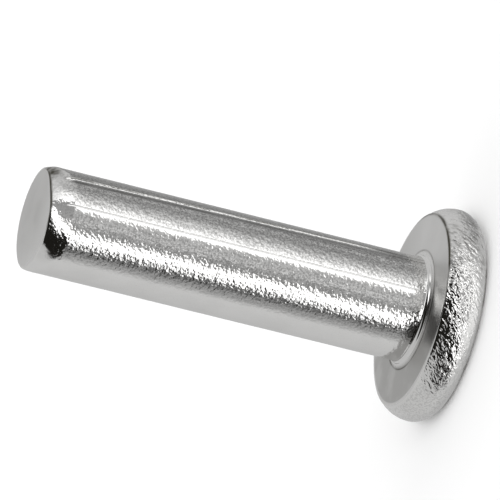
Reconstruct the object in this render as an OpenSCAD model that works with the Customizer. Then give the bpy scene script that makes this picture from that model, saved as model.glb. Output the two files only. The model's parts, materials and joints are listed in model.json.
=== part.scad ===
// Solid rivet with a flat head, a plain round shank and a cropped tail, in millimetres.
// It was headed from one length of wire, so it is one solid, turned from one section.
// It stands on the outer face of its head: the origin is the centre of that face, and
// the shank runs along +Z to the tail.

/* [Shank] */
// Diameter of the shank
shank_d = 4; // [3:0.1:6]
// Length of the shank, from the bearing face of the head to the end of the tail
shank_l = 15; // [6:0.5:40]

/* [Head] */
// Diameter of the head at the widest point of its rim
head_d = 8.14; // [7:0.02:12]
// Thickness of the head between its two flat faces
head_h = 1.52; // [1:0.02:3]
// Height of the rim's widest point above the outer face
rim_z = 0.62; // [0.4:0.02:0.8]
// How far the barrelled rim stands out past the edges of the flat faces
rim_bulge = 0.38; // [0.2:0.01:0.5]
// Radius of the fillet where the shank meets the bearing face
neck_r = 0.28; // [0.1:0.01:0.6]

/* [Tail] */
// Length of the rounded lead-in before the end of the tail
tail_l = 0.7; // [0.3:0.1:1.5]
// Radius of the lead-in's curve along the shank
tail_r = 3; // [2:0.5:30]

/* [Hidden] */
// Sides of a full circle
$fn = 160;
// Bright, faintly warm silver of the bare metal
metal = [0.77, 0.76, 0.74];
// Arc radii are rounded to this step, so that the arcs meet exactly
radius_step = 0.001;

shank_r = shank_d/2;
head_r = head_d/2;
// Radius of the flat faces, at the edges where the rim starts
face_r = head_r - rim_bulge;
// Radius of an arc that swells by the bulge over a height and is upright where it is widest
function rim_r(height) =
  radius_step*round((height*height + rim_bulge*rim_bulge)/(2*rim_bulge*radius_step));
// The fillet is never wider than the bearing face it runs into
fillet_r = min(neck_r, face_r - shank_r);
// Height where the lead-in starts
lead_in_z = head_h + shank_l - tail_l;

// Half section of the head between two heights, out to an arc that is widest at rim_z
module rim_section(low_z, high_z) {
  arc_r = rim_r(high_z - low_z);
  arc_x = head_r - arc_r;
  intersection() {
    translate([0, low_z]) square([head_d, high_z - low_z]);
    union() {
      translate([0, low_z]) square([arc_x, high_z - low_z]);
      translate([arc_x, rim_z]) circle(arc_r);
    }
  }
}

// Half section of the head: a tight arc up from the outer face and a longer one above it
module head_section() {
  rim_section(0, rim_z);
  rim_section(rim_z, head_h);
}

// Corner between the bearing face and the shank, left by a round of the fillet's radius
module neck_section() {
  translate([shank_r, head_h]) difference() {
    square(fillet_r);
    translate([fillet_r, fillet_r]) circle(fillet_r);
  }
}

// Half section of the straight shank, which starts inside the head
module shank_section() {
  square([shank_r, lead_in_z]);
}

// Half section of the tail: an arc that leaves the shank smoothly and ends at the flat cut
module tail_section() {
  translate([0, lead_in_z]) intersection() {
    square([shank_d, tail_l]);
    translate([shank_r - tail_r, 0]) circle(tail_r);
  }
}

// The whole rivet
module rivet() {
  color(metal) rotate_extrude() {
    head_section();
    neck_section();
    shank_section();
    tail_section();
  }
}

rivet();
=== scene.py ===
"""Looks of a solid rivet: one bright, cold-headed metal piece, standing on its head on a pale floor."""

import json
import math

import bpy
import numpy as np
from mathutils import Matrix, Vector, noise


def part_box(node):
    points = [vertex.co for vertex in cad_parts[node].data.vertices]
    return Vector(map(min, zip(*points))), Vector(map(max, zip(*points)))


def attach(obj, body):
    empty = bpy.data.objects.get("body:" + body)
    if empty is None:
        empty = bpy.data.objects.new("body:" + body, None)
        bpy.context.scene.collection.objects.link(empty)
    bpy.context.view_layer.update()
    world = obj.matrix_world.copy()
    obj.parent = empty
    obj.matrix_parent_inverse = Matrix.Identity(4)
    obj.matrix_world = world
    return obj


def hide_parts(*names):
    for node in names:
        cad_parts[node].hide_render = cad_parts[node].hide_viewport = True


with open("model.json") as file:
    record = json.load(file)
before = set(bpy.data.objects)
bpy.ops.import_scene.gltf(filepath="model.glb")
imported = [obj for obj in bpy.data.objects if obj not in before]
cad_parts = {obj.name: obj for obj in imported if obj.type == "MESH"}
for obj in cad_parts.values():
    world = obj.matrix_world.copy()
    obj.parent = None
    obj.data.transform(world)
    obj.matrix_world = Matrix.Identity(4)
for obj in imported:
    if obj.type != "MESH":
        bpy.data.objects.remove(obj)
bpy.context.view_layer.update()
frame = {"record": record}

MM = 0.001
mounts = {mount["name"]: mount for mount in frame["record"]["mounts"]}
box_low, box_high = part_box("rivet")

# Sizes of the rivet, from the frame
HEAD_R = box_high.x
END_Z = box_high.z
SHANK_R = mounts["shank"]["dims"]["r_mm"]*MM
BEARING_Z = mounts["bearing_face"]["pos_m"][2]

# Sizes of the section that the frame doesn't name, with the rounding of its sharp edges
RIM_Z = 0.62*MM
RIM_BULGE = 0.38*MM
NECK_R = 0.28*MM
EDGE = 0.05*MM
FACE_R = HEAD_R - RIM_BULGE
FOOT_R = SHANK_R + NECK_R
NECK_Z = BEARING_Z + NECK_R

# Azimuths are in degrees about the axis: 0 is towards the camera and 90 is +X.
# A side of the rivet is given by its middle, and by how far from there it starts and stops to fade.

# Rounding that the cropping shear left on the tail: a short one all round, a long one that is
# deepest on one side and shorter past it, a flat beside it, and a smaller one below the flat
EDGE_DROP = 0.04*MM
EDGE_LENGTH = 0.4*MM
ROLL_DROP = 0.36*MM
ROLL_LENGTH = 0.95*MM
ROLL_POWER = 1.6
ROLL_AZIMUTH = 46
ROLL_SPREAD = 40
ROLL_SHORTENED = 0.6
ROLL_SHORT_SIDE = (140, 45, 90)
FACET_DROP = 0.075*MM
FACET_LENGTH = 0.88*MM
FACET_SIDE = (-20, 12, 40)
LOW_DROP = 0.1*MM
LOW_LENGTH = 0.7*MM
LOW_SIDE = (-56, 12, 34)

# Crease and ripples that the heading die left round the neck
CREASE_DEPTH = 0.015*MM
CREASE_WIDTH = 0.035*MM
CREASE_R = FOOT_R + 2*CREASE_WIDTH
RIPPLE_DEPTH = 0.01*MM
RIPPLES = 3

# Spacing of the mesh: the head has twice the columns of the shank, the rings of the tail's face are
# shares of its radius, and the head's rows meet the shank's on the bearing face
COLUMNS = 400
HEAD_COLUMNS = 2*COLUMNS
CORNER_STEPS = 6
LEAST_STEP = EDGE/10
RIM_STEP = 0.036*MM
FACE_STEP = 0.2*MM
CREASE_STEP = CREASE_WIDTH/3
NECK_STEP = 0.018*MM
SHANK_STEP = 0.3*MM
ROLL_ROWS = 24
TAIL_RINGS = np.array([[0.98], [0.9]])
LAST_HEAD_R = FACE_R - 2*EDGE
FIRST_SHANK_R = FACE_R - 3*EDGE

# Relief of the surface: size, depth and seed of the rim's wrinkles and folds and of the shank's waves.
# On the rim it sets in past the flat faces and runs in slanted strokes, calmer on the underside.
SEED_SHIFT = Vector((17.3, 5.1, 11.7))
WRINKLE_SIZE = 0.15*MM
WRINKLE_DEPTH = 0.014*MM
WRINKLE_SEED = 1
FOLD_SIZE = 0.4*MM
FOLD_DEPTH = 0.01*MM
FOLD_SEED = 2
WAVE_SIZE = 1.0*MM
WAVE_DEPTH = 0.004*MM
WAVE_SEED = 3
STROKE = 0.6
RIM_FADE = (FACE_R, FACE_R + RIM_BULGE/4)
RIM_UNDERSIDE = (-90, 41, 63)
RIM_CALM = 0.6

# Strength of the fine grain: on the shank, on its smoother underside, on the rounded tail, in the
# track that the drawing die burnished, and on the rim and its underside. Between two heights each,
# the bearing face's satin ends, the shank's finish sets in within the neck, and the tail's follows.
SHANK_GRAIN = 0.3
SHANK_UNDERSIDE = (-90, 45, 68)
UNDERSIDE_LOSS = 0.6
TAIL_LOSS = 0.4
TRACK_SIDE = (20, 0, 9)
TRACK_LOSS = 0.65
SATIN_FADE = (BEARING_Z, BEARING_Z + NECK_R/5)
SHANK_FADE = (NECK_Z - 0.17*MM, NECK_Z - 0.03*MM)
TAIL_FADE = (END_Z - ROLL_LENGTH, END_Z - ROLL_LENGTH/3)
RIM_GRAIN = 0.1
RIM_UNDERSIDE_GRAIN = 0.2

# Painted shade and dark marks in the colour: a dark line along the head's upper edge, painted shade
# along its foot and in the rim's wrinkles, on the bearing face, in the crease and along the tail's
# burr, a dark patch at the corner of the tail, where it is gritty, and painted shade in the middle of
# both end faces and round the tail's face, but for one side
# A dark line along the head's upper edge, on one side
EDGE_MARK = 1.5
EDGE_MARK_WIDTH = 0.05*MM
EDGE_MARK_SIDE = (70, 26, 72)
# Painted shade along the head's foot, where it meets the floor, on the side towards the camera
FOOT_SHADE = 1.0
FOOT_SHADE_WIDTH = 0.075*MM
FOOT_SHADE_SIDE = (-8, 40, 70)
# Painted shade in the valleys of the rim's wrinkles, on one side
WRINKLE_SHADE = 0.5
WRINKLE_SHADE_FROM = (0.0, 0.4)
WRINKLE_SHADE_SIDE = (48, 8, 28)
# Painted shade: one side of the bearing face is darker
BEARING_SHADE = 0.38
BEARING_SHADE_SIDE = (-100, 84, 162)
# Painted shade in the crease at the neck
CREASE_SHADE = 0.6
CREASE_TOP = BEARING_Z + NECK_R/3
# Painted shade along the burr at the tail's edge, on one side
BURR_SHADE = 1.3
BURR_SHADE_FADE = (END_Z - 0.08*MM, END_Z)
BURR_SHADE_SIDE = (38, 40, 54)
# A dark, gritty patch at the tail's top corner
CORNER_MARK = 0.8
CORNER_FADE = (END_Z - 0.6*MM, END_Z - 0.2*MM)
CORNER_SIDE = (84, 11, 26)
GRIT = 0.9
GRIT_SIZE = 0.16*MM
GRIT_SEED = 4
# Painted shade in the middle of both end faces and round the tail's face, lighter on one side
END_SHADE = 0.24
TAIL_RING_SHADE = 0.14
TAIL_LIT_SIDE = (-40, 30, 120)

# Metal: colours, roughness, and the sizes and depths of the relief that is finer than the mesh.
# A span is the stretch of a noise, which runs from 0 to 1, over which its effect sets in.
FINISHES = ("grain", "satin", "drawn", "shade_and_marks", "wrinkle")
DULL_METAL = (0.72, 0.716, 0.706, 1)
CLEAR_METAL = (0.76, 0.756, 0.746, 1)
SPECK_COLOUR = (0.3, 0.298, 0.294, 1)
# Colour of the painted shade and of the dark marks
SHADE_AND_MARK_COLOUR = (0.07, 0.065, 0.05, 1)
BRIGHT_ROUGHNESS = 0.08
SATIN_ROUGHNESS = 0.38
CLOUD_SIZE = 1.4*MM
CLOUD_DETAIL = 3.0
CLOUD_SPAN = (0.3, 0.7)
PATCH_SPAN = (0.35, 0.6)
PATCH_SHARES = (0.5, 1.0)
SPECK_SIZE = 0.076*MM
SPECK_SPAN = (0.47, 0.6)
SPECK_SHARE = 0.5
SPECK_GRAIN = (0.1, SHANK_GRAIN)
PEEL_SIZE = 0.125*MM
PEEL_DETAIL = 1.0
PEEL_DEPTH = 0.048*MM
WORM_SIZE = 0.12*MM
WORM_DEPTH = 0.03*MM
WORM_TWIST = 0.8
WORM_SLANT = 0.6

# Lines that the drawing die left along the shank: azimuth, turn per millimetre and half width.
# The groove fades near the head, the scores darken the colour in two lines along its flanks, and the
# hairline has a small share of its depth.
GROOVE = (67.5, -0.64, 0.21*MM)
GROOVE_DEPTH = 0.17*MM
GROOVE_SPAN = (0.3, 0.6)
GROOVE_SHARES = (0.75, 1.0)
GROOVE_FADE = (BEARING_Z + 1.2*MM, BEARING_Z + 3*MM)
SCORES = ((71.5, -0.64, 0.1*MM), (64.5, -0.64, 0.09*MM))
SCORE_MARK = 0.75
HAIRLINE = (22.8, 0, 0.045*MM)
HAIRLINE_SHARE = 0.03

# Camera, as fitted to the photograph
VIEW_ELEVATION = math.radians(17.04)
VIEW_ROLL = math.radians(76.14)
VIEW_DISTANCE = 450*MM
VIEW_TARGET = Vector((0, 0, 8.72*MM))
TARGET_X_PX = 231.45
TARGET_Y_PX = 265.54
FRAME_PX = 500
PX_PER_MM = 26.975
M_PER_PX = MM/PX_PER_MM
SENSOR_MM = 36
CLIP_START = 0.01
CLIP_END = 5

# Studio: grey of the walls by azimuth, below, beside and above the rivet, and the heights, on a
# sphere of radius 1, between which one passes into the next. Beside the rivet they have two thin
# light strips, at 12 and 103 degrees.
LOW_WALLS = ((-180, 0.5), (-100, 0.62), (-10, 1.0), (20, 1.0), (90, 0.55), (180, 0.6))
WALLS = ((-180, 0.5), (-125, 0.65), (-84, 0.72), (-72, 0.48), (-58, 0.34), (-52, 0.18), (-40, 0.14),
         (4, 0.45), (8, 0.46), (12, 0.95), (16, 0.58), (60, 0.62), (90, 0.38), (99, 0.3),
         (103, 0.75), (107, 0.3), (135, 0.3), (180, 0.5))
HIGH_WALLS = ((-180, 0.61), (-100, 0.68), (0, 0.45), (84, 0.36), (105, 0.66), (140, 0.7), (180, 0.61))
LOW_TO_MIDDLE = (-0.57, -0.41)
MIDDLE_TO_HIGH = (-0.24, -0.1)

# Strips of the studio: a dark flag, the glow beside the second highlight, the second and the first
# highlight, and the foot of the first. Each has two places, as azimuth and elevation, that it runs
# through, and where its length and its two sides start and stop to fade, in degrees from its middle.
FLAG = {"ends": ((-52, -8), (10, 60)), "reach": (60, 80), "right": (28, 33), "left": (18, 28)}
FLAG_FOOT = ((-50, -12), (-88, -10))
FLAG_FOOT_FADE = (-2.5, 2.5)
FLAG_LEVEL = (0.014, 0.013, 0.011, 1)
GLOW = {"ends": ((44, -15), (68, 15)), "reach": (50, 75), "right": (0, 36), "left": (3, 6)}
GLOW_HEIGHTS = (-0.1, 0.3)
GLOW_SHARES = (0.8, 0.1)
GLOW_LEVEL = (1.2, 1.2, 1.2, 1)
SECOND = {"ends": ((44, -15), (68, 15)), "reach": (45, 60), "right": (-3, 17), "left": (3, 6)}
SECOND_HEIGHTS = (0.3, 0.55)
SECOND_SHARES = (1.0, 0.5)
SECOND_LEVEL = (1.8, 1.8, 1.8, 1)
FIRST_FOOT = {"ends": ((-37, -45), (-39, -17)), "reach": (13, 18), "right": (7, 9), "left": (5, 8)}
FIRST_FOOT_LEVEL = (1.0, 1.0, 1.0, 1)
FIRST = {"ends": ((-24, -17), (26, 25)), "reach": (55, 70), "right": (6, 9.5), "left": (4.5, 9)}
FIRST_LEVEL = (2.0, 2.0, 2.0, 1)

# Floor and the lamp that lights it, in metres and watts
FLOOR_HALF = 1.0
FLOOR_COLOUR = (0.94, 0.94, 0.94, 1)
FLOOR_ROUGHNESS = 0.9
LAMP_SIZE = 0.8
LAMP_ENERGY = 1.95
LAMP_PLACE = (0, 0.02, 0.4)


def smooth(value, low, high):
    """0 below low and 1 above high, with a smooth step between them."""
    step = np.clip((value - low)/(high - low), 0, 1)
    return step*step*(3 - 2*step)


def bell(value, width):
    """1 at 0, falling away to both sides over the given width."""
    return np.exp(-(value/width)**2)


def from_middle(azimuth, middle):
    """Degrees from a middle azimuth, between -180 and 180, of azimuths in radians."""
    return (np.degrees(azimuth) - middle + 180) % 360 - 180


def facing(azimuth, side):
    """1 on a side of the rivet and 0 away from it, at azimuths in radians."""
    middle, inner, outer = side
    return 1 - smooth(np.abs(from_middle(azimuth, middle)), inner, outer)


def line(start, end, spacing):
    """Points of a section along a straight stretch."""
    start = np.array(start)
    end = np.array(end)
    count = max(1, math.ceil(np.linalg.norm(end - start)/spacing))
    return start + np.linspace(0, 1, count + 1)[:, None]*(end - start)


def arc(centre, radius, start, end, spacing):
    """Points of a section along an arc, between two angles from the outward direction."""
    count = max(2, math.ceil(radius*abs(end - start)/spacing))
    angle = np.linspace(start, end, count + 1)
    return np.array(centre) + radius*np.column_stack([np.cos(angle), np.sin(angle)])


def trimmed(path, length):
    """A path without its last stretch of the given length."""
    steps = np.linalg.norm(np.diff(path, axis=0), axis=1)
    along = np.concatenate([[0], np.cumsum(steps)])
    cut = along[-1] - length
    end = [np.interp(cut, along, path[:, 0]), np.interp(cut, along, path[:, 1])]
    return np.vstack([path[along < cut - LEAST_STEP], end])


def joined(first, second):
    """Two paths that meet at a corner, with the corner rounded."""
    corner = first[-1]
    first = trimmed(first, EDGE)
    second = trimmed(second[::-1], EDGE)[::-1]
    t = np.linspace(0, 1, CORNER_STEPS + 1)[1:-1, None]
    bend = (1 - t)**2*first[-1] + 2*t*(1 - t)*corner + t**2*second[0]
    return np.vstack([first, bend, second])


def rim_radius(height):
    """Radius of an arc that swells by the rim's bulge over the given height."""
    return (height**2 + RIM_BULGE**2)/(2*RIM_BULGE)


def rim_section():
    """Half section of the head, from its outer face round the rim to the bearing face."""
    low_r = rim_radius(RIM_Z)
    high_r = rim_radius(BEARING_Z - RIM_Z)
    low_start = -math.asin(RIM_Z/low_r)
    high_end = math.asin((BEARING_Z - RIM_Z)/high_r)
    outer_face = line((LAST_HEAD_R, 0), (FACE_R, 0), EDGE)
    low_rim = arc((HEAD_R - low_r, RIM_Z), low_r, low_start, 0, RIM_STEP)
    high_rim = arc((HEAD_R - high_r, RIM_Z), high_r, 0, high_end, RIM_STEP)
    bearing_face = line((FACE_R, BEARING_Z), (LAST_HEAD_R, BEARING_Z), EDGE)
    return joined(joined(outer_face, np.vstack([low_rim, high_rim[1:]])), bearing_face)


def neck_section():
    """The neck's fillet from the bearing face to the shank, with its ripples."""
    centre = (FOOT_R, NECK_Z)
    neck = arc(centre, NECK_R, -math.pi/2, -math.pi, NECK_STEP)
    along = np.linspace(0, 1, len(neck))
    ripple = RIPPLE_DEPTH*np.sin(RIPPLES*math.tau*along)*np.sin(math.pi*along)
    return neck + (ripple/NECK_R)[:, None]*(neck - centre)


def shank_section():
    """Half section from the bearing face, through the neck, to the end of the tail."""
    face = line((FIRST_SHANK_R, BEARING_Z), (CREASE_R, BEARING_Z), FACE_STEP)
    crease = line((CREASE_R, BEARING_Z), (FOOT_R, BEARING_Z), CREASE_STEP)
    neck = neck_section()
    roll_start = END_Z - ROLL_LENGTH
    shank = line(neck[-1], (SHANK_R, roll_start), SHANK_STEP)
    roll_part = np.sin(np.linspace(0, math.pi/2, ROLL_ROWS + 1)[1:])
    roll = np.column_stack([np.full(ROLL_ROWS, SHANK_R), roll_start + ROLL_LENGTH*roll_part])
    path = np.vstack([face, crease[1:], neck[1:], shank[1:], roll])
    path[:, 1] -= CREASE_DEPTH*bell(path[:, 0] - FOOT_R, CREASE_WIDTH)
    return path


def nearness(to_end, length):
    """1 at the end of the tail, falling to 0 at the given length before it."""
    return np.clip(1 - to_end/length, 0, 1)


def tail_radius(height, azimuth):
    """Radius of the shank and tail at a height, with the rounding left by the shear."""
    to_end = END_Z - height
    length = ROLL_LENGTH*(1 - ROLL_SHORTENED*facing(azimuth, ROLL_SHORT_SIDE))
    share = bell(from_middle(azimuth, ROLL_AZIMUTH), ROLL_SPREAD)
    roll = ROLL_DROP*share*nearness(to_end, length)**ROLL_POWER
    facet = FACET_DROP*facing(azimuth, FACET_SIDE)*nearness(to_end, FACET_LENGTH)
    low = LOW_DROP*facing(azimuth, LOW_SIDE)*nearness(to_end, LOW_LENGTH)**2
    edge = EDGE_DROP*nearness(to_end, EDGE_LENGTH)**2
    inside = np.clip(EDGE - to_end, 0, EDGE)
    corner = EDGE - np.sqrt(EDGE**2 - inside**2)
    return SHANK_R - roll - facet - low - edge - corner


def field(points, size, seed):
    """Smooth noise from about -1 to 1 at each point, with features of the given size."""
    shift = seed*SEED_SHIFT
    scaled = points.reshape(-1, 3)/size
    values = [noise.noise(Vector(point) + shift) for point in scaled]
    return np.array(values).reshape(points.shape[:-1])


def placed(radius, height, azimuth):
    """Points at a radius, a height and an azimuth in radians."""
    radius, height, azimuth = np.broadcast_arrays(radius, height, azimuth)
    return np.stack([radius*np.sin(azimuth), -radius*np.cos(azimuth), height], axis=-1)


def slanted(points):
    """Points turned about the axis in step with their height, so that noise there runs in strokes."""
    angle = -points[..., 2]/HEAD_R
    x = points[..., 0]*np.cos(angle) - points[..., 1]*np.sin(angle)
    y = points[..., 0]*np.sin(angle) + points[..., 1]*np.cos(angle)
    return np.stack([x, y, STROKE*points[..., 2]], axis=-1)


def turned(section, columns):
    """Azimuths of a turned section's columns, its points, and the outward direction at each."""
    azimuth = np.linspace(0, math.tau, columns, endpoint=False)[None, :]
    tangent = np.gradient(section, axis=0)
    tangent /= np.linalg.norm(tangent, axis=1)[:, None]
    outward = placed(tangent[:, 1:], -tangent[:, :1], azimuth)
    return azimuth, placed(section[:, :1], section[:, 1:], azimuth), outward


def head_points():
    """Rows of the head's points, with the wrinkled rim, and the finish at each point."""
    section = rim_section()
    azimuth, points, outward = turned(section, HEAD_COLUMNS)
    radius = section[:, :1] + 0*azimuth
    calm = facing(azimuth, RIM_UNDERSIDE)
    rim = smooth(radius, *RIM_FADE)
    wrinkled = rim*(1 - RIM_CALM*calm)
    wrinkle = field(slanted(points), WRINKLE_SIZE, WRINKLE_SEED)
    folds = FOLD_DEPTH*(field(slanted(points), FOLD_SIZE, FOLD_SEED) - 1)
    points += (wrinkled*(WRINKLE_DEPTH*(wrinkle - 1) + folds))[..., None]*outward
    # Painted shade in the valleys of the rim's wrinkles, on one side
    valley_shade = WRINKLE_SHADE*rim*smooth(-wrinkle, *WRINKLE_SHADE_FROM)
    valley_shade = valley_shade*facing(azimuth, WRINKLE_SHADE_SIDE)
    # A dark line along the head's upper edge, on one side
    upper_edge = bell(radius - FACE_R, EDGE_MARK_WIDTH)*(section[:, 1:] > RIM_Z)
    upper_edge = EDGE_MARK*upper_edge*facing(azimuth, EDGE_MARK_SIDE)
    # Painted shade along the head's foot, where it meets the floor, on the side towards the camera
    foot_shade = bell(radius - FACE_R, FOOT_SHADE_WIDTH)*(section[:, 1:] < RIM_Z)
    foot_shade = FOOT_SHADE*foot_shade*facing(azimuth, FOOT_SHADE_SIDE)
    finish = {
        "grain": rim*(RIM_GRAIN + (RIM_UNDERSIDE_GRAIN - RIM_GRAIN)*calm),
        "satin": 1 - smooth(radius, FACE_R - EDGE, FACE_R),
        "drawn": np.zeros_like(rim),
        "shade_and_marks": valley_shade + upper_edge + foot_shade,
        "wrinkle": wrinkled}
    return points, finish


def shank_shade_and_marks(radius, height, azimuth, satin):
    """Painted shade on one side of the bearing face, in the crease at the neck and along the tail's
    burr, and a dark patch at its corner.
    """
    # Painted shade: one side of the bearing face is darker
    bearing_shade = BEARING_SHADE*satin*facing(azimuth, BEARING_SHADE_SIDE)
    # Painted shade in the crease at the neck
    crease = CREASE_SHADE*bell(radius - FOOT_R, CREASE_WIDTH)*(height < CREASE_TOP)
    # Painted shade along the burr at the tail's edge, on one side
    burr_shade = BURR_SHADE*smooth(height, *BURR_SHADE_FADE)*facing(azimuth, BURR_SHADE_SIDE)
    grit = 1 + GRIT*field(placed(radius, height, azimuth), GRIT_SIZE, GRIT_SEED)
    # A dark, gritty patch at the tail's top corner
    corner = CORNER_MARK*grit*smooth(height, *CORNER_FADE)*facing(azimuth, CORNER_SIDE)
    return bearing_shade + crease + np.maximum(burr_shade, corner)


def with_tail_face(points, finish, azimuth):
    """Rows of points and their finish, with the rings of the tail's flat face added."""
    face_r = tail_radius(END_Z, azimuth)*TAIL_RINGS
    points = np.concatenate([points, placed(face_r, END_Z, azimuth)])
    # Painted shade round the tail's face, but for one side, which stays lighter
    on_face = {"satin": 1.0, "shade_and_marks": TAIL_RING_SHADE*(1 - facing(azimuth, TAIL_LIT_SIDE))}
    whole = {}
    for name, values in finish.items():
        rings = np.broadcast_to(on_face.get(name, 0.0), face_r.shape)
        whole[name] = np.concatenate([values, rings])
    return points, whole


def shank_points():
    """Rows of the points of the bearing face, neck, shank and tail, and the finish at each point."""
    section = shank_section()
    azimuth, points, outward = turned(section, COLUMNS)
    height = section[:, 1:] + 0*azimuth
    rows = section[:, 1] > NECK_Z
    points[rows] = placed(tail_radius(height[rows], azimuth), height[rows], azimuth)
    straight = smooth(height, *SHANK_FADE)
    rolled = smooth(height, *TAIL_FADE)
    waves = WAVE_DEPTH*(field(points, WAVE_SIZE, WAVE_SEED) - 1)
    points += (straight*(1 - rolled)*waves)[..., None]*outward
    grain = SHANK_GRAIN*straight*(1 - TAIL_LOSS*rolled)
    grain = grain*(1 - UNDERSIDE_LOSS*facing(azimuth, SHANK_UNDERSIDE))
    satin = 1 - smooth(height, *SATIN_FADE)
    finish = {
        "grain": grain*(1 - TRACK_LOSS*(1 - rolled)*facing(azimuth, TRACK_SIDE)),
        "satin": satin,
        "drawn": straight*(1 - rolled),
        "shade_and_marks": shank_shade_and_marks(section[:, :1], height, azimuth, satin),
        "wrinkle": np.zeros_like(height)}
    return with_tail_face(points, finish, azimuth)


def rivet_faces(head_rows, shank_rows):
    """Faces between the rows of the head and the shank, the step between them, and both ends."""
    faces = []
    first_shank = head_rows*HEAD_COLUMNS
    for start, rows, columns in ((0, head_rows, HEAD_COLUMNS), (first_shank, shank_rows, COLUMNS)):
        for row in range(rows - 1):
            low = start + row*columns
            high = low + columns
            for column in range(columns):
                side = (column + 1) % columns
                faces.append((low + column, low + side, high + side, high + column))
    last_head = first_shank - HEAD_COLUMNS
    last_shank = first_shank + (shank_rows - 1)*COLUMNS
    bottom = last_shank + COLUMNS
    top = bottom + 1
    for column in range(COLUMNS):
        side = (column + 1) % COLUMNS
        left = last_head + 2*column
        right = last_head + 2*side
        faces.append((left, left + 1, first_shank + column))
        faces.append((left + 1, first_shank + side, first_shank + column))
        faces.append((left + 1, right, first_shank + side))
        faces.append((top, last_shank + column, last_shank + side))
    for column in range(HEAD_COLUMNS):
        faces.append((bottom, (column + 1) % HEAD_COLUMNS, column))
    return faces


class Graph:
    """Adds nodes to a tree; an input is a plain value or the output of another node."""

    def __init__(self, tree):
        self.tree = tree
        tree.nodes.clear()

    def node(self, kind, inputs=None, **settings):
        made = self.tree.nodes.new(kind)
        for name, value in settings.items():
            setattr(made, name, value)
        for name, value in (inputs or {}).items():
            if isinstance(value, bpy.types.NodeSocket):
                self.tree.links.new(value, made.inputs[name])
            else:
                made.inputs[name].default_value = value
        return made

    def math(self, operation, *values):
        inputs = dict(enumerate(values))
        return self.node("ShaderNodeMath", inputs, operation=operation).outputs[0]

    def dot(self, vector, axis):
        made = self.node("ShaderNodeVectorMath", {0: vector, 1: axis}, operation="DOT_PRODUCT")
        return made.outputs["Value"]

    def smooth(self, value, span, levels=(0.0, 1.0)):
        inputs = {"Value": value, "From Min": span[0], "From Max": span[1],
                  "To Min": levels[0], "To Max": levels[1]}
        made = self.node("ShaderNodeMapRange", inputs, interpolation_type="SMOOTHSTEP")
        return made.outputs["Result"]

    def mix(self, factor, first, second):
        # Inputs 6 and 7 and output 2 are those of a mix of colours
        inputs = {0: factor, 6: first, 7: second}
        return self.node("ShaderNodeMix", inputs, data_type="RGBA").outputs[2]

    def noise(self, place, size, detail=0.0, distortion=0.0):
        inputs = {"Vector": place, "Scale": 1/size, "Detail": detail, "Distortion": distortion}
        return self.node("ShaderNodeTexNoise", inputs).outputs["Fac"]

    def bump(self, height, depth, strength, normal=None, invert=False):
        inputs = {"Height": height, "Distance": depth, "Strength": strength}
        if normal:
            inputs["Normal"] = normal
        return self.node("ShaderNodeBump", inputs, invert=invert).outputs["Normal"]

    def ramp(self, value, stops):
        made = self.node("ShaderNodeValToRGB", {"Fac": value})
        elements = made.color_ramp.elements
        while len(elements) < len(stops):
            elements.new(1.0)
        for element, (position, level) in zip(elements, stops):
            element.position = position
            element.color = (level, level, level, 1)
        return made.outputs["Color"]


def azimuth_of(graph, vector):
    """Azimuth of a vector, in radians."""
    parts = graph.node("ShaderNodeSeparateXYZ", {"Vector": vector}).outputs
    return graph.math("ARCTAN2", parts["X"], graph.math("MULTIPLY", parts["Y"], -1.0))


def draw_line(graph, place, line_place):
    """How far each place lies on a line that the drawing die left along the shank."""
    azimuth, twist, half_width = line_place
    height = graph.node("ShaderNodeSeparateXYZ", {"Vector": place}).outputs["Z"]
    middle = graph.math("MULTIPLY_ADD", height, math.radians(twist)/MM, math.radians(azimuth))
    offset = graph.math("ABSOLUTE", graph.math("SUBTRACT", azimuth_of(graph, place), middle))
    return graph.smooth(offset, (0.0, half_width/SHANK_R), (1.0, 0.0))


def metal_colour(graph, place, finish, cloud):
    """Colour of the metal: cloudy silver with fine specks in the grain, and painted shade and dark
    marks.
    """
    clean = graph.mix(graph.smooth(cloud, CLOUD_SPAN), DULL_METAL, CLEAR_METAL)
    specks = graph.smooth(graph.noise(place, SPECK_SIZE), SPECK_SPAN, (0.0, SPECK_SHARE))
    specks = graph.math("MULTIPLY", specks, graph.smooth(finish["grain"], SPECK_GRAIN))
    clean = graph.mix(specks, clean, SPECK_COLOUR)
    # Dark lines of the scores along the groove's flanks, on the drawn shank
    score = graph.math("MAXIMUM", *(draw_line(graph, place, line_place) for line_place in SCORES))
    score = graph.math("MULTIPLY", score, finish["drawn"])
    # Painted shade and dark marks from the mesh, with the scores, darken the colour in patches
    shade_and_marks = graph.math("MAXIMUM", finish["shade_and_marks"], graph.math("MULTIPLY", score, SCORE_MARK))
    patchy = graph.math("MULTIPLY", shade_and_marks, graph.smooth(cloud, PATCH_SPAN, PATCH_SHARES))
    return graph.mix(patchy, clean, SHADE_AND_MARK_COLOUR)


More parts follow.
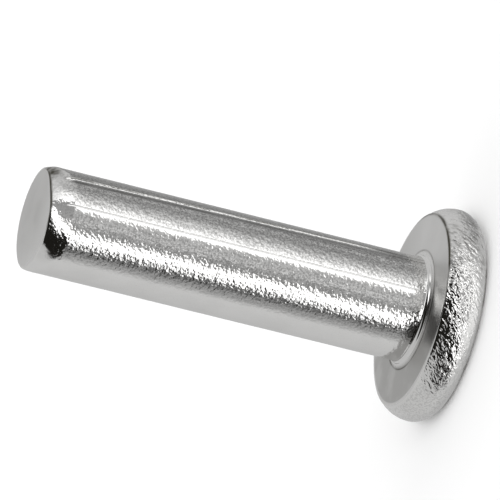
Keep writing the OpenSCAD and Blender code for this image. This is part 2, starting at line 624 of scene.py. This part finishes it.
def metal_normal(graph, place, finish, cloud):
    """Relief finer than the mesh: the grain, the rim's fine wrinkles and the drawn lines."""
    peel = graph.noise(place, PEEL_SIZE, detail=PEEL_DETAIL)
    height = graph.node("ShaderNodeSeparateXYZ", {"Vector": place}).outputs["Z"]
    slant = graph.math("MULTIPLY", height, -WORM_SLANT/HEAD_R)
    rotation = {"Vector": place, "Angle": slant}
    rotate = graph.node("ShaderNodeVectorRotate", rotation, rotation_type="Z_AXIS")
    worms = graph.noise(rotate.outputs["Vector"], WORM_SIZE, distortion=WORM_TWIST)
    groove_depth = graph.smooth(cloud, GROOVE_SPAN, GROOVE_SHARES)
    groove_depth = graph.math("MULTIPLY", groove_depth, graph.smooth(height, GROOVE_FADE))
    groove = graph.math("MULTIPLY", draw_line(graph, place, GROOVE), groove_depth)
    hairline = draw_line(graph, place, HAIRLINE)
    lines = graph.math("MULTIPLY_ADD", hairline, HAIRLINE_SHARE, groove)
    normal = graph.bump(peel, PEEL_DEPTH, finish["grain"])
    normal = graph.bump(worms, WORM_DEPTH, finish["wrinkle"], normal)
    return graph.bump(lines, GROOVE_DEPTH, finish["drawn"], normal, invert=True)


def bright_metal():
    """Bright, faintly warm metal that follows the finish set on the mesh."""
    material = bpy.data.materials.new("bright_metal")
    material.use_nodes = True
    graph = Graph(material.node_tree)
    place = graph.node("ShaderNodeTexCoord").outputs["Object"]
    finish = {}
    for name in FINISHES:
        finish[name] = graph.node("ShaderNodeAttribute", attribute_name=name).outputs["Fac"]
    cloud = graph.noise(place, CLOUD_SIZE, detail=CLOUD_DETAIL)
    shader = graph.node("ShaderNodeBsdfPrincipled", {
        "Base Color": metal_colour(graph, place, finish, cloud),
        "Metallic": 1.0,
        "Roughness": graph.smooth(finish["satin"], (0.0, 1.0), (BRIGHT_ROUGHNESS, SATIN_ROUGHNESS)),
        "Normal": metal_normal(graph, place, finish, cloud)})
    graph.node("ShaderNodeOutputMaterial", {"Surface": shader.outputs["BSDF"]})
    return material


def make_rivet():
    """The rivet's visible metal, on the CAD section, with the relief of the real surface."""
    head, head_finish = head_points()
    shank, shank_finish = shank_points()
    ends = [(0, 0, box_low.z), (0, 0, END_Z)]
    vertices = np.vstack([head.reshape(-1, 3), shank.reshape(-1, 3), ends])
    mesh = bpy.data.meshes.new("rivet_body")
    mesh.from_pydata(vertices.tolist(), [], rivet_faces(len(head), len(shank)))
    mesh.shade_smooth()
    # Painted shade in the middle of both end faces
    end_finish = {"satin": 1.0, "shade_and_marks": END_SHADE}
    for name in FINISHES:
        at_ends = [end_finish.get(name, 0.0)]*len(ends)
        values = np.concatenate([head_finish[name].ravel(), shank_finish[name].ravel(), at_ends])
        attribute = mesh.attributes.new(name, "FLOAT", "POINT")
        attribute.data.foreach_set("value", values)
    mesh.materials.append(bright_metal())
    piece = bpy.data.objects.new("rivet_body", mesh)
    bpy.context.scene.collection.objects.link(piece)
    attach(piece, "root")
    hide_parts("rivet")


def direction(azimuth, elevation):
    """Unit vector towards a place round the rivet, given in degrees."""
    a = math.radians(azimuth)
    e = math.radians(elevation)
    return Vector((math.sin(a)*math.cos(e), -math.cos(a)*math.cos(e), math.sin(e)))


def edge(graph, toward, ends, fade):
    """How far each direction lies to the right of a line that runs through two places.

    fade is where it starts and stops to fade, in degrees to the left of the line."""
    pole = direction(*ends[0]).cross(direction(*ends[1])).normalized()
    across = graph.math("ARCSINE", graph.dot(toward, pole))
    return graph.smooth(across, [math.radians(angle) for angle in fade], (1.0, 0.0))


def strip(graph, toward, ends, reach, right, left):
    """How far each direction lies in a straight strip of the studio."""
    middle = (direction(*ends[0]) + direction(*ends[1])).normalized()
    along = graph.math("ARCCOSINE", graph.dot(toward, middle))
    inside = graph.smooth(along, [math.radians(angle) for angle in reach], (1.0, 0.0))
    inside = graph.math("MULTIPLY", inside, edge(graph, toward, ends, left))
    return graph.math("MULTIPLY", inside, edge(graph, toward, ends[::-1], right))


def walls(graph, toward, height):
    """Grey walls of the studio, below, beside and above the rivet."""
    turn = graph.math("MULTIPLY_ADD", azimuth_of(graph, toward), 1/math.tau, 0.5)
    low, middle, high = (
        graph.ramp(turn, [((azimuth + 180)/360, level) for azimuth, level in stops])
        for stops in (LOW_WALLS, WALLS, HIGH_WALLS))
    lower = graph.mix(graph.smooth(height, LOW_TO_MIDDLE), low, middle)
    return graph.mix(graph.smooth(height, MIDDLE_TO_HIGH), lower, high)


def studio():
    """Soft grey surroundings with a dark flag and the strips of the two highlights."""
    world = bpy.data.worlds.new("studio")
    world.use_nodes = True
    graph = Graph(world.node_tree)
    toward = graph.node("ShaderNodeTexCoord").outputs["Generated"]
    height = graph.node("ShaderNodeSeparateXYZ", {"Vector": toward}).outputs["Z"]
    light = walls(graph, toward, height)
    flag_foot = edge(graph, toward, FLAG_FOOT, FLAG_FOOT_FADE)
    flag = graph.math("MULTIPLY", strip(graph, toward, **FLAG), flag_foot)
    light = graph.mix(flag, light, FLAG_LEVEL)
    glow_share = graph.smooth(height, GLOW_HEIGHTS, GLOW_SHARES)
    glow = graph.math("MULTIPLY", strip(graph, toward, **GLOW), glow_share)
    light = graph.mix(glow, light, GLOW_LEVEL)
    second_share = graph.smooth(height, SECOND_HEIGHTS, SECOND_SHARES)
    second = graph.math("MULTIPLY", strip(graph, toward, **SECOND), second_share)
    light = graph.mix(second, light, SECOND_LEVEL)
    light = graph.mix(strip(graph, toward, **FIRST_FOOT), light, FIRST_FOOT_LEVEL)
    light = graph.mix(strip(graph, toward, **FIRST), light, FIRST_LEVEL)
    background = graph.node("ShaderNodeBackground", {"Color": light, "Strength": 1.0})
    graph.node("ShaderNodeOutputWorld", {"Surface": background.outputs["Background"]})
    bpy.context.scene.world = world


def floor():
    """A plain pale floor that takes the rivet's shadow and stays out of the metal's reflections."""
    mesh = bpy.data.meshes.new("floor")
    corners = [(-1, -1), (1, -1), (1, 1), (-1, 1)]
    points = [(FLOOR_HALF*x, FLOOR_HALF*y, box_low.z) for x, y in corners]
    mesh.from_pydata(points, [], [(0, 1, 2, 3)])
    material = bpy.data.materials.new("floor")
    material.use_nodes = True
    shader = material.node_tree.nodes["Principled BSDF"]
    shader.inputs["Base Color"].default_value = FLOOR_COLOUR
    shader.inputs["Roughness"].default_value = FLOOR_ROUGHNESS
    shader.inputs["Specular IOR Level"].default_value = 0.0
    mesh.materials.append(material)
    piece = bpy.data.objects.new("floor", mesh)
    bpy.context.scene.collection.objects.link(piece)
    piece.visible_glossy = False
    piece.visible_shadow = False


def key_light():
    """A wide soft lamp above the rivet, for its shadow on the floor."""
    lamp = bpy.data.lights.new("key", "AREA")
    lamp.shape = "DISK"
    lamp.size = LAMP_SIZE
    lamp.energy = LAMP_ENERGY
    light = bpy.data.objects.new("key", lamp)
    light.location = LAMP_PLACE
    light.rotation_euler = (-light.location).to_track_quat("-Z", "Y").to_euler()
    light.visible_glossy = False
    bpy.context.scene.collection.objects.link(light)


def camera():
    """The camera at the photograph's view, turned about its axis as the photograph is."""
    cos_e = math.cos(VIEW_ELEVATION)
    sin_e = math.sin(VIEW_ELEVATION)
    back = Vector((0, -cos_e, sin_e))
    level = Vector((1, 0, 0))
    upright = Vector((0, sin_e, cos_e))
    right = math.cos(VIEW_ROLL)*level - math.sin(VIEW_ROLL)*upright
    up = math.sin(VIEW_ROLL)*level + math.cos(VIEW_ROLL)*upright
    shift_right = (FRAME_PX/2 - TARGET_X_PX)*M_PER_PX
    shift_up = (TARGET_Y_PX - FRAME_PX/2)*M_PER_PX
    data = bpy.data.cameras.new("camera")
    data.sensor_width = SENSOR_MM
    data.lens = SENSOR_MM*VIEW_DISTANCE/(FRAME_PX*M_PER_PX)
    data.clip_start = CLIP_START
    data.clip_end = CLIP_END
    made = bpy.data.objects.new("camera", data)
    turn = Matrix((right, up, back)).transposed()
    made.matrix_world = turn.to_4x4()
    made.location = VIEW_TARGET + shift_right*right + shift_up*up + VIEW_DISTANCE*back
    bpy.context.scene.collection.objects.link(made)
    bpy.context.scene.camera = made


camera()
make_rivet()
floor()
key_light()
studio()
bpy.context.scene.view_settings.view_transform = "Standard"

bpy.context.view_layer.update()
